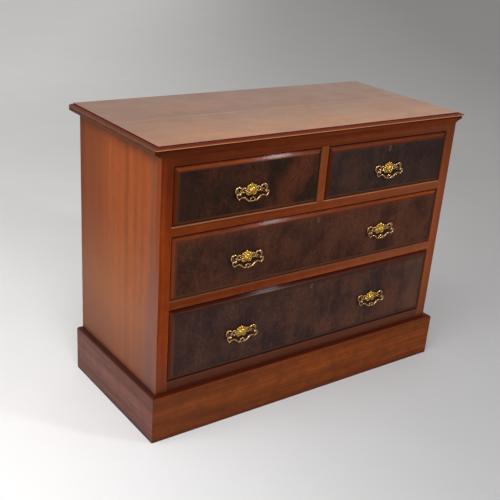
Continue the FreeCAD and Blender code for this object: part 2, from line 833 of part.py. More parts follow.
def rounded_path(points, radii):
    """A line through points in the plane of the bail, with an arc of the given radius at each inner one."""
    edges = []
    start = points[0]
    for before, corner, after, radius in zip(points, points[1:], points[2:], radii):
        to_before = (before - corner).normalize()
        to_after = (after - corner).normalize()
        half_angle = to_before.getAngle(to_after) / 2
        tangent = radius / math.tan(half_angle)
        middle = (to_before + to_after).normalize()
        inner = corner + middle * (radius / math.sin(half_angle) - radius)
        arc_start = corner + to_before * tangent
        arc_end = corner + to_after * tangent
        edges += [Part.makeLine(start, arc_start), Part.Arc(arc_start, inner, arc_end).toShape()]
        start = arc_end
    edges.append(Part.makeLine(start, points[-1]))
    return Part.Wire(edges)


def bail():
    """The bail, hanging at rest: two pins, legs that lean in to cusps, arched shoulders and a loop in the bow."""
    x_post = post_spacing / 2
    x_start = x_post + post_head_radius + bail_shoulder
    x_out = x_post + bail_reach

    def at(x, drop):
        return Vector(x, -bail_standoff, -post_drop - drop)
    right = [at(x_start, 0), at(x_out, 0), at(x_out, bail_leg_drop),
             at(x_out - bail_cusp_inset, bail_cusp_drop), at(bail_arch_outer, bail_arch_drop),
             at(bail_arch_inner, bail_arch_drop), at(bail_bow_inner, bail_bow_drop)]
    left = [Vector(-point.x, point.y, point.z) for point in reversed(right)]
    corners = [bail_corner_radius, bail_curve_radius, bail_corner_radius] + [bail_curve_radius] * 3
    path = rounded_path(right + left, corners + corners[::-1])
    circle = Part.Wire([Part.makeCircle(bail_radius, right[0], Vector(1, 0, 0))])
    rod = path.makePipeShell([circle], True, False)
    pins = [Part.makeCylinder(bail_pin_radius, bail_pin_length, at(x_start + bail_radius / 2, 0), Vector(-1, 0, 0))]
    pins.append(mirrored(pins[0]))
    loop = Part.makeTorus(bail_loop_radius, bail_loop_wire, at(0, bail_bow_drop - bail_loop_radius),
                          Vector(0, 1, 0))
    return joined([rod, loop] + pins)


def placed(shape, place):
    """A copy of a handle piece moved to its place on a drawer's field."""
    copy = shape.copy()
    copy.translate(Vector(place[0], y_field, place[1]))
    return copy


def write_carcass():
    """Write the fixed woodwork."""
    panel = side_panel()
    upright = stile()
    board = plinth_side()
    save("side_right", [panel])
    save("side_left", [mirrored(panel)])
    save("front_stiles", [mirrored(upright), upright])
    save("front_rails", front_rails())
    save("drawer_divider", [divider()])
    save("drawer_runners", runners())
    save("drawer_guides", guides() + kickers())
    save("drawer_stops", stops())
    save("rear_rails", rear_rails() + [plinth_rear()])
    save("back_boards", back_boards())
    save("back_nails", [nail(x, z) for x, z in nail_places()])
    save("plinth_front", [plinth_front()])
    save("plinth_right", [board])
    save("plinth_left", [mirrored(board)])
    save("plinth_glue_blocks", glue_blocks())
    save("top_boards", top_boards())
    save("top_frieze", [frieze()])
    save("top_cleats", cleats())


def write_drawer(drawer):
    """Write one drawer with its lock and handles."""
    name = "drawer_" + drawer["name"]
    places = handle_places(drawer)
    save(name + "_front", [drawer_front(drawer)])
    save(name + "_field", [drawer_field(drawer)])
    save(name + "_sides", drawer_sides(drawer))
    save(name + "_back", [drawer_back(drawer)])
    save(name + "_bottom", [bottom_panel(drawer)])
    save(name + "_lock", lock_and_liner(drawer))
    save(name + "_lock_bolt", [bolt_box(drawer, 0)])
    base_plate = plate()
    fittings = [make(side * post_spacing / 2) for make in (post, nut) for side in (-1, 1)]
    save(name + "_handle_plates", [placed(base_plate, place) for place in places])
    save(name + "_handle_posts", [placed(shape, place) for place in places for shape in fittings])
    base_bail = bail()
    endings = ("",) if len(places) == 1 else ("_left", "_right")
    for ending, place in zip(endings, places):
        save(name + "_bail" + ending, [placed(base_bail, place)])


os.makedirs("parts", exist_ok=True)
write_carcass()
for each_drawer in drawers:
    write_drawer(each_drawer)
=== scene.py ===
"""Chest of drawers in mahogany with dark figured fields and cast brass handles, on a pale studio floor."""

import math

import bmesh
import bpy
from mathutils import Matrix, Vector


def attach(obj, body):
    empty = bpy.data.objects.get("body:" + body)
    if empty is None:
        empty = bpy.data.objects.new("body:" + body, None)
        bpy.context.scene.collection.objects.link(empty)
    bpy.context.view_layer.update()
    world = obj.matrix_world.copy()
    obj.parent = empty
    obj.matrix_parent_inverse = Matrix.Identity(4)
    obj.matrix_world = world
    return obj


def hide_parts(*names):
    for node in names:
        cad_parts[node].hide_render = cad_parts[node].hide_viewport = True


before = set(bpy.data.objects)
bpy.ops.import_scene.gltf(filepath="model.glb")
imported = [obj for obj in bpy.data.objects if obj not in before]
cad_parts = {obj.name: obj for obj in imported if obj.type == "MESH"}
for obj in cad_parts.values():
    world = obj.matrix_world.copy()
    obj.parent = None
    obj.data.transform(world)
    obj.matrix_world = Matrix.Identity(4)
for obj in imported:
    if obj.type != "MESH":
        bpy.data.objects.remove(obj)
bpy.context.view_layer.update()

MM = 0.001
DRAWERS = ("upper_left", "upper_right", "middle", "lower")


# Laying out nodes

SRGB_KNEE, SRGB_SLOPE, SRGB_LIFT, SRGB_POWER = 0.04045, 12.92, 0.055, 2.4
NOISE_MIDDLE = (0.5, 0.5, 0.5)


def tone(red, green, blue):
    """A finish colour mixed in steps of 0 to 255, as the linear values that the nodes take."""
    steps = [value / 255 for value in (red, green, blue)]
    return tuple(v / SRGB_SLOPE if v <= SRGB_KNEE else ((v + SRGB_LIFT) / (1 + SRGB_LIFT)) ** SRGB_POWER
                 for v in steps) + (1.0,)


class Bench:
    """A node tree on the bench: lays down nodes and joins their sockets."""

    def __init__(self, tree):
        self.tree = tree

    def fill(self, sockets, values):
        """Join each value to its socket, or set it there."""
        for key, value in values.items():
            if isinstance(value, bpy.types.NodeSocket):
                self.tree.links.new(value, sockets[key])
            else:
                sockets[key].default_value = value

    def node(self, kind, sockets=None, **settings):
        made = self.tree.nodes.new(kind)
        for name, value in settings.items():
            setattr(made, name, value)
        self.fill(made.inputs, sockets or {})
        return made

    def group(self, tree, sockets):
        """The outputs of a shared effect."""
        return self.node("ShaderNodeGroup", sockets, node_tree=tree).outputs

    def maths(self, operation, *values, clamp=False):
        return self.node("ShaderNodeMath", dict(enumerate(values)), operation=operation,
                         use_clamp=clamp).outputs[0]

    def times(self, first, *others, clamp=False):
        """The product of the values, with clamp held between 0 and 1."""
        for count, other in enumerate(others, 1):
            first = self.maths("MULTIPLY", first, other, clamp=clamp and count == len(others))
        return first

    def vector(self, operation, *values):
        made = self.node("ShaderNodeVectorMath", dict(enumerate(values)), operation=operation)
        return made.outputs["Value" if operation == "DOT_PRODUCT" else "Vector"]

    def scale(self, value, amount):
        made = self.node("ShaderNodeVectorMath", {0: value, "Scale": amount}, operation="SCALE")
        return made.outputs["Vector"]

    def stretched(self, place, across, *, detail=2.0, rough=0.5, swirl=0.0, colour=False):
        """Cloudy noise, packed along each axis by the three amounts of across, per metre."""
        made = self.node("ShaderNodeTexNoise", {
            "Vector": self.vector("MULTIPLY", place, across), "Scale": 1.0, "Detail": detail,
            "Roughness": rough, "Distortion": swirl})
        return made.outputs["Color" if colour else "Fac"]

    def cloudy(self, place, pitch, **look):
        """Noise packed alike along all three axes."""
        return self.stretched(place, (pitch, pitch, pitch), **look)

    def remap(self, value, low, high, new_low=0.0, new_high=1.0, soft=False):
        made = self.node("ShaderNodeMapRange", {
            "Value": value, "From Min": low, "From Max": high, "To Min": new_low, "To Max": new_high},
            interpolation_type="SMOOTHSTEP" if soft else "LINEAR")
        return made.outputs["Result"]

    def between(self, amount, first, second):
        """A number between two others."""
        return self.node("ShaderNodeMix", {0: amount, 2: first, 3: second}).outputs[0]

    def blend(self, amount, first, second):
        return self.node("ShaderNodeMix", {0: amount, 6: first, 7: second}, data_type="RGBA").outputs[2]

    def tint(self, colour, amount, steps):
        """The colour with a tint laid over it, in steps of 0 to 255."""
        return self.blend(amount, colour, tone(*steps))

    def ramp(self, value, *stops):
        made = self.node("ShaderNodeValToRGB", {"Fac": value})
        row = made.color_ramp.elements
        while len(row) < len(stops):
            row.new(0.5)
        for element, (position, colour) in zip(row, stops):
            element.position = position
            element.color = colour
        return made.outputs["Color"]

    def along(self, place, axis):
        """How far a place or direction goes along an axis."""
        return self.node("ShaderNodeSeparateXYZ", {0: place}).outputs["xyz".index(axis)]

    def bump(self, height, strength, relief):
        return self.node("ShaderNodeBump", {
            "Strength": strength, "Distance": relief, "Height": height}).outputs[0]


def effect(name, amounts, gives):
    """A node group that takes a place and the named amounts, each with a usual value, and gives numbers."""
    group = bpy.data.node_groups.new(name, "ShaderNodeTree")
    group.interface.new_socket("Vector", in_out="INPUT", socket_type="NodeSocketVector")
    for label, value in amounts.items():
        socket = group.interface.new_socket(label, in_out="INPUT", socket_type="NodeSocketFloat")
        socket.default_value = value
    for label in gives:
        group.interface.new_socket(label, in_out="OUTPUT", socket_type="NodeSocketFloat")
    bench = Bench(group)
    return group, bench, bench.node("NodeGroupInput").outputs, bench.node("NodeGroupOutput").inputs


def timber_grain():
    """Long grain of a board whose fibres run along X: slow bands, streaks, fibre, open pores and ribbon."""
    group, bench, takes, gives = effect(
        "timber_grain", {"Board": 0.0, "Band Width": 0.03, "Wander": 0.012},
        ("Bands", "Streaks", "Fibre", "Pores", "Ribbon", "Height"))
    board_shift = bench.scale((3.71, 1.37, 2.93), takes["Board"])
    place = bench.vector("ADD", takes["Vector"], board_shift)
    drift = bench.stretched(place, (1.7, 5.0, 5.0), colour=True)
    sway = bench.scale(bench.vector("SUBTRACT", drift, NOISE_MIDDLE), takes["Wander"])
    place = bench.vector("ADD", place, bench.vector("MULTIPLY", sway, (0.0, 2.0, 2.0)))
    pitch = bench.maths("DIVIDE", 1.0, takes["Band Width"])
    across = bench.node("ShaderNodeCombineXYZ", {0: 0.9, 1: pitch, 2: pitch}).outputs[0]
    fibre = bench.stretched(place, (22.0, 900.0, 900.0), rough=0.6)
    pores = bench.remap(bench.stretched(place, (130.0, 1500.0, 1500.0), detail=1.0), 0.60, 0.70)
    bench.fill(gives, {
        "Bands": bench.stretched(place, across, detail=3.0, rough=0.55),
        "Streaks": bench.stretched(place, (3.2, 210.0, 210.0), detail=3.0, rough=0.6),
        "Fibre": fibre,
        "Pores": pores,
        "Ribbon": bench.stretched(place, (26.0, 34.0, 34.0), detail=3.0, swirl=0.6),
        "Height": bench.maths("SUBTRACT", bench.times(fibre, 0.35), bench.times(pores, 0.8))})
    return group


def burr_figure():
    """Figure of dark burr veneer: upright flames, clouds, tight curls and small eyes."""
    group, bench, takes, gives = effect(
        "burr_figure", {"Leaf": 0.0}, ("Clouds", "Flames", "Curls", "Eyes", "Fibre"))
    leaf_shift = bench.scale((2.31, 0.0, 1.77), takes["Leaf"])
    place = bench.vector("ADD", takes["Vector"], leaf_shift)
    warp = bench.stretched(place, (16.0, 16.0, 11.0), colour=True)
    warp = bench.vector("MULTIPLY", bench.vector("SUBTRACT", warp, NOISE_MIDDLE), (0.03, 0.0, 0.05))
    place = bench.vector("ADD", place, warp)
    clouds = bench.stretched(place, (13.0, 13.0, 9.0), detail=3.0, rough=0.55)
    cells = bench.node("ShaderNodeTexVoronoi", {
        "Vector": bench.vector("MULTIPLY", place, (85.0, 85.0, 70.0)), "Scale": 1.0, "Randomness": 1.0})
    near_middle = bench.remap(cells.outputs["Distance"], 0.10, 0.26, 1.0, 0.0)
    bench.fill(gives, {
        "Clouds": clouds,
        "Flames": bench.stretched(place, (42.0, 42.0, 17.0), detail=4.0, rough=0.6, swirl=0.6),
        "Curls": bench.stretched(place, (150.0, 150.0, 110.0), detail=3.0, rough=0.65, swirl=1.4),
        "Eyes": bench.times(near_middle, bench.remap(clouds, 0.50, 0.64)),
        "Fibre": bench.stretched(place, (700.0, 700.0, 60.0))})
    return group


def arris_wear():
    """Where the corners of a piece are rubbed: strongest on the arris itself, broken up by handling."""
    group, bench, takes, gives = effect("arris_wear", {"Width": 0.002, "Amount": 0.6}, ("Wear",))
    rounded = bench.node("ShaderNodeBevel", {"Radius": takes["Width"]}, samples=4).outputs["Normal"]
    flat = bench.node("ShaderNodeNewGeometry").outputs["Normal"]
    turn = bench.remap(bench.vector("DOT_PRODUCT", rounded, flat), 0.995, 0.86)
    handled = bench.remap(bench.cloudy(takes["Vector"], 30.0, detail=4.0, rough=0.65), 0.36, 0.62)
    bench.fill(gives, {"Wear": bench.times(turn, handled, takes["Amount"], clamp=True)})
    return group


def openness(bench, reach):
    """How open a spot lies within a reach: 1 in the open, less in a corner."""
    return bench.node("ShaderNodeAmbientOcclusion", {"Distance": reach}, samples=8).outputs["AO"]


def corner_shade():
    """Painted shade, with old wax and dust, that darkens the inner corners and ledges."""
    group, bench, takes, gives = effect("corner_shade", {"Reach": 0.02, "Depth": 1.0}, ("Shade",))
    closed = bench.remap(openness(bench, takes["Reach"]), 0.96, 0.40)
    patchy = bench.remap(bench.cloudy(takes["Vector"], 45.0, detail=3.0), 0.25, 0.7, 0.65, 1.0)
    bench.fill(gives, {"Shade": bench.times(closed, patchy, takes["Depth"], clamp=True)})
    return group


def rubbed_polish():
    """How a waxed surface varies: soft smears and fine rubbing marks."""
    group, bench, takes, gives = effect(
        "rubbed_polish", {"Dullness": 0.35, "Unevenness": 0.12}, ("Roughness", "Smears", "Height"))
    smears = bench.cloudy(takes["Vector"], 7.0, detail=4.0, rough=0.6, swirl=0.8)
    marks = bench.stretched(takes["Vector"], (160.0, 1200.0, 1200.0))
    both = bench.maths("ADD", bench.times(bench.maths("SUBTRACT", smears, 0.5), 1.6),
                       bench.times(bench.maths("SUBTRACT", marks, 0.5), 0.5))
    dull = bench.maths("MULTIPLY_ADD", both, takes["Unevenness"], takes["Dullness"])
    bench.fill(gives, {
        "Roughness": bench.maths("MAXIMUM", dull, 0.05),
        "Smears": smears,
        "Height": bench.cloudy(takes["Vector"], 14.0)})
    return group


def metal_tarnish():
    """Tarnish on a casting: dark in its hollows, thin and cloudy elsewhere, with small casting pits."""
    group, bench, takes, gives = effect(
        "metal_tarnish", {"Hollow Reach": 0.003, "Amount": 1.0}, ("Hollows", "Film", "Roughness", "Height"))
    clouds = bench.cloudy(takes["Vector"], 180.0, detail=4.0, rough=0.6)
    closed = bench.remap(openness(bench, takes["Hollow Reach"]), 0.90, 0.50)
    hollows = bench.times(closed, bench.remap(clouds, 0.2, 0.55, 0.8, 1.0))
    film = bench.remap(clouds, 0.45, 0.72)
    pits = bench.cloudy(takes["Vector"], 1400.0)
    bench.fill(gives, {
        "Hollows": bench.times(hollows, takes["Amount"], clamp=True),
        "Film": bench.times(film, takes["Amount"], clamp=True),
        "Roughness": bench.maths("ADD", bench.times(film, 0.14), bench.times(hollows, 0.35)),
        "Height": bench.maths("ADD", bench.times(clouds, 0.6), bench.times(pits, 0.2))})
    return group


GRAIN, BURR, WEAR, SHADE, POLISH, TARNISH = (
    timber_grain(), burr_figure(), arris_wear(), corner_shade(), rubbed_polish(), metal_tarnish())

RUN_TURNS = {"x": (0.0, 0.0, 0.0), "y": (0.0, 0.0, -math.pi / 2), "z": (0.0, math.pi / 2, 0.0)}
BOARD_STEP = 1.618
PICK_TURN, PICK_SPREAD = 12.9, 43.7
LEDGE_HEIGHT = 0.001


def finish_base(name):
    """A new material with its bench, shader and the place on the piece."""
    material = bpy.data.materials.new(name)
    material.use_nodes = True
    bench = Bench(material.node_tree)
    shader = material.node_tree.nodes["Principled BSDF"]
    where = bench.node("ShaderNodeTexCoord").outputs
    return material, bench, shader, where


def run_along(bench, place, run):
    """The place turned so that the grain's own X lies along the board."""
    return bench.node("ShaderNodeMapping", {"Vector": place, "Rotation": RUN_TURNS[run]},
                      vector_type="POINT").outputs[0]


def mitred_run(bench, where, grain_place):
    """The grain's place, turned upright on the bevels at the left and the right."""
    slanted = bench.maths("ABSOLUTE", bench.along(where["Normal"], "x"))
    upright = bench.times(bench.maths("GREATER_THAN", slanted, 0.3), bench.maths("LESS_THAN", slanted, 0.9))
    turned = run_along(bench, where["Object"], "z")
    return bench.node("ShaderNodeMix", {0: upright, 4: grain_place, 5: turned},
                      data_type="VECTOR").outputs[1]


def groove_line(bench, where, height_line):
    """The upright step above a height, and the ledge at its foot."""
    level = bench.along(where["Object"], "z")
    upward = bench.along(where["Normal"], "z")
    step = bench.times(bench.maths("LESS_THAN", upward, 0.35),
                       bench.maths("GREATER_THAN", level, height_line))
    ledge = bench.times(bench.maths("GREATER_THAN", upward, 0.9),
                        bench.maths("LESS_THAN", level, height_line + LEDGE_HEIGHT))
    return bench.maths("MAXIMUM", step, ledge)


def wood(name, run, deep, middle, light, *, board, band, streak, ribbon, coat, sheen, pores=0.35,
         dull=0.36, uneven=0.10, coat_dull=0.18, worn=(150, 88, 50), wear=0.5, wear_width=0.0022,
         shade=0.75, reach=0.016, grime_and_shade=(28, 13, 8), relief=0.00025, mitred=False, boards=None,
         washes=(), facing=(), groove=None, seam=None, faded=None):
    """A wooden finish. run is the axis along the grain; washes are broad tints laid over by place, some of
    them painted light and shade. boards cuts a panel into boards with a colour of their own: the axis, the
    width and the first edge. facing paints light and shade on the faces by how far they look along an axis:
    none of it at the first amount, all at the second, and less of it by place where a spread follows. z and
    x+ tell the two directions apart, x and y don't. groove paints shade on the upright step above a height
    and the ledge at its foot. seam draws the line of a glued joint: axis, place and tint. faded mixes in a
    tint by slow clouds that lie along the grain. shade and reach set the painted shade in the corners."""
    material, bench, shader, where = finish_base(name)
    place = where["Object"]
    grain_place = run_along(bench, place, run)
    if mitred:
        grain_place = mitred_run(bench, where, grain_place)
    number = board
    if boards:
        axis, width, start = boards
        offset = bench.maths("SUBTRACT", bench.along(place, axis), start)
        index = bench.maths("FLOOR", bench.maths("DIVIDE", offset, width))
        number = bench.maths("MULTIPLY_ADD", index, BOARD_STEP, board)
    grain = bench.group(GRAIN, {"Vector": grain_place, "Board": number, "Band Width": band})
    colour = bench.ramp(grain["Bands"], (0.30, tone(*deep)), (0.50, tone(*middle)), (0.70, tone(*light)))
    if boards:
        mixed = bench.times(bench.maths("SINE", bench.times(number, PICK_TURN)), PICK_SPREAD)
        colour = bench.tint(colour, bench.times(bench.maths("FRACT", mixed), 0.35), light)
    streaks = bench.remap(grain["Streaks"], 0.3, 0.7, 1.0 - streak, 1.0 + streak * 0.6)
    fibre = bench.remap(grain["Fibre"], 0.3, 0.7, 0.93, 1.06)
    figure = bench.remap(grain["Ribbon"], 0.35, 0.65, 1.0 - ribbon, 1.0 + ribbon)
    colour = bench.scale(colour, bench.times(streaks, fibre, figure))
    for axis, low, high, tint, amount in washes:
        spread = bench.remap(bench.along(place, axis), low, high, soft=True)
        colour = bench.tint(colour, bench.times(spread, amount), tint)
    if faded:
        tint, amount, across = faded
        clouds = bench.stretched(grain_place, across, detail=4.0, rough=0.62)
        colour = bench.tint(colour, bench.remap(clouds, 0.38, 0.64, 0.0, amount), tint)
    if seam:
        axis, middle_line, tint = seam
        off = bench.maths("ABSOLUTE", bench.maths("SUBTRACT", bench.along(place, axis), middle_line))
        gaps = bench.stretched(grain_place, (9.0, 40.0, 40.0), detail=3.0)
        line = bench.times(bench.remap(off, 0.0008, 0.0028, 1.0, 0.0),
                           bench.remap(gaps, 0.35, 0.6, 0.25, 0.75))
        colour = bench.tint(colour, line, tint)
    colour = bench.tint(colour, bench.times(grain["Pores"], pores), grime_and_shade)
    if wear:
        rubbed = bench.group(WEAR, {"Vector": place, "Width": wear_width, "Amount": wear})
        colour = bench.tint(colour, rubbed["Wear"], worn)
    # Painted shade in the corners and along the gaps, in the same dark colour as the pores; the coat is taken
    # off there.
    dark = bench.group(SHADE, {"Vector": place, "Reach": reach, "Depth": shade})["Shade"]
    colour = bench.tint(colour, dark, grime_and_shade)
    bare = dark
    # Painted light and shade by the way each face looks; the coat is taken off where it lies.
    for axis, low, high, tint, amount, *spreads in facing:
        looks = bench.along(where["Normal"], axis[0])
        if axis in "xy":
            looks = bench.maths("ABSOLUTE", looks)
        looks = bench.remap(looks, low, high, 0.0, amount)
        for way, start, full in spreads:
            looks = bench.times(looks, bench.remap(bench.along(place, way), start, full))
        colour = bench.tint(colour, looks, tint)
        bare = bench.maths("MAXIMUM", bare, looks)
    # Painted shade on the step and ledge of a groove.
    if groove:
        height_line, tint = groove
        step = groove_line(bench, where, height_line)
        bare = bench.maths("MAXIMUM", bare, step)
        colour = bench.tint(colour, step, tint)
    polish = bench.group(POLISH, {"Vector": grain_place, "Dullness": dull, "Unevenness": uneven})
    height = bench.maths("ADD", grain["Height"], bench.times(polish["Height"], 1.2))
    bench.fill(shader.inputs, {
        "Base Color": colour,
        "Roughness": bench.maths("ADD", polish["Roughness"], bench.times(dark, 0.25), clamp=True),
        "Normal": bench.bump(height, 0.6, relief),
        "Specular IOR Level": sheen})
    if coat:
        gloss = bench.remap(polish["Smears"], 0.3, 0.7, coat * 0.7, coat * 1.2)
        bench.fill(shader.inputs, {
            "Coat Weight": bench.times(gloss, bench.maths("SUBTRACT", 1.0, bare), clamp=True),
            "Coat Roughness": coat_dull})
    return material


FLAME_SHARE, CURL_SHARE, CLOUD_SHARE = 0.30, 0.44, 0.26
EYE_TINT, VENEER_WORN, VENEER_SHADE_AND_GRIME = (22, 12, 9), (112, 58, 30), (16, 9, 7)


def veneer(name, leaf, dark, brown, red, redness, *rims):
    """Dark figured veneer under old varnish. redness is the pair of places along X between which it warms,
    and how much. Each rim tints it towards an edge: the axis, where that starts, where it is full, the tint
    and how much."""
    material, bench, shader, where = finish_base(name)
    place = where["Object"]
    figure = bench.group(BURR, {"Vector": place, "Leaf": leaf})
    mixed = bench.maths("ADD", bench.times(figure["Flames"], FLAME_SHARE),
                        bench.times(figure["Curls"], CURL_SHARE))
    mixed = bench.maths("ADD", mixed, bench.times(figure["Clouds"], CLOUD_SHARE))
    colour = bench.ramp(mixed, (0.32, tone(*dark)), (0.50, tone(*brown)), (0.72, tone(*red)))
    cool_end, warm_end, warmth = redness
    warm = bench.remap(bench.along(place, "x"), cool_end, warm_end, 0.0, warmth, soft=True)
    clouds = bench.remap(figure["Clouds"], 0.40, 0.62)
    colour = bench.tint(colour, bench.times(clouds, bench.maths("ADD", warm, 0.15), clamp=True), red)
    colour = bench.tint(colour, bench.remap(figure["Clouds"], 0.50, 0.30, 0.0, 0.25), dark)
    colour = bench.tint(colour, bench.times(figure["Eyes"], 0.7), EYE_TINT)
    colour = bench.scale(colour, bench.times(bench.remap(figure["Fibre"], 0.3, 0.7, 0.86, 1.12),
                                             bench.remap(figure["Curls"], 0.36, 0.64, 0.86, 1.14)))
    for axis, start, full, tint, amount in rims:
        near_edge = bench.remap(bench.along(place, axis), start, full, 0.0, amount, soft=True)
        colour = bench.tint(colour, near_edge, tint)
    rubbed = bench.group(WEAR, {"Vector": place, "Width": 0.0016, "Amount": 0.12})
    colour = bench.tint(colour, rubbed["Wear"], VENEER_WORN)
    # Painted shade, with old wax and dust, in the corners of the field and around the handles.
    shade_and_dirt = bench.group(SHADE, {"Vector": place, "Reach": 0.016, "Depth": 1.2})
    colour = bench.tint(colour, shade_and_dirt["Shade"], VENEER_SHADE_AND_GRIME)
    polish = bench.group(POLISH, {"Vector": place, "Dullness": 0.34, "Unevenness": 0.14})
    height = bench.maths("ADD", bench.times(figure["Curls"], 0.5), polish["Height"])
    bench.fill(shader.inputs, {
        "Base Color": colour,
        "Roughness": polish["Roughness"],
        "Normal": bench.bump(height, 0.5, 0.00025),
        "Coat Weight": bench.remap(polish["Smears"], 0.3, 0.7, 0.02, 0.07),
        "Coat Roughness": 0.12,
        "Specular IOR Level": 0.05})
    return material


def metal(name, bright, film, hollow, dull, reach):
    """A metal finish with tarnish in its hollows."""
    material, bench, shader, where = finish_base(name)
    tarnished = bench.group(TARNISH, {"Vector": where["Object"], "Hollow Reach": reach})
    colour = bench.tint(tone(*bright), tarnished["Film"], film)
    bench.fill(shader.inputs, {
        "Base Color": bench.tint(colour, tarnished["Hollows"], hollow),
        "Metallic": bench.maths("SUBTRACT", 1.0, bench.times(tarnished["Hollows"], 0.7)),
        "Roughness": bench.maths("ADD", tarnished["Roughness"], dull, clamp=True),
        "Normal": bench.bump(tarnished["Height"], 0.5, 0.0002)})
    return material


# Finishes. Places are in metres, tints in steps of 0 to 255.

# Side washes: darker towards the back, greyer towards the front, paler and greyer low down as a painted floor
# reflection, and a band of painted shadow under the top.
SIDE_WASHES = (("y", 0.0, 0.12, (106, 53, 25), 0.72), ("y", 0.15, 0.225, (92, 41, 12), 0.52),
               ("y", -0.15, -0.23, (90, 68, 64), 0.4), ("z", 0.62, 0.28, (158, 112, 84), 0.34),
               ("z", 0.36, 0.16, (104, 66, 54), 0.52), ("z", 0.765, 0.803, (84, 42, 26), 0.5))
# Front washes: paler to the right, painted shadow of the top over the upper part, and a greyer painted floor
# reflection low down. The rails are also darker to the left and along the bottom rail.
FRONT_WASHES = (("x", -0.2, 0.54, (150, 98, 66), 0.24), ("z", 0.54, 0.80, (64, 20, 3), 0.62),
                ("z", 0.34, 0.14, (84, 50, 36), 0.55))
RAIL_WASHES = FRONT_WASHES + (("x", -0.05, -0.50, (50, 12, 0), 0.12), ("z", 0.20, 0.17, (62, 34, 27), 0.45))

# Ways that a face can look, used to paint light and shade on faces: the axis, where a tint begins and where
# it is full
ENDS = ("x", 0.6, 0.9)
LEFT_BEVEL, RIGHT_BEVEL = ("x+", -0.2, -0.4), ("x+", 0.2, 0.4)
TOP_BEVEL, FOOT_BEVEL = ("z", 0.15, 0.3), ("z", -0.2, -0.4)
# The outer rim of the left bevels, where a painted shadow line lies along the gap
LEFT_RIM = ("x", -0.4785, -0.4815)

FRAMING = dict(streak=0.16, ribbon=0.10, coat=0.03, sheen=0.06)
# The fronts take deep, narrow painted shade along their gaps.
FRONT = dict(band=0.02, streak=0.2, mitred=True, dull=0.4, coat_dull=0.10, shade=2.2, reach=0.008)
LINING = dict(band=0.014, streak=0.14, ribbon=0.03, pores=0.1, dull=0.7, coat=0.0, sheen=0.3,
              worn=(205, 175, 130), wear=0.3, shade=0.4, grime_and_shade=(70, 46, 28), relief=0.0003)
DEAL = dict(band=0.011, streak=0.2, ribbon=0.03, pores=0.08, dull=0.75, coat=0.0, sheen=0.25,
            wear=0.0, shade=0.5, grime_and_shade=(60, 40, 24), relief=0.0004)

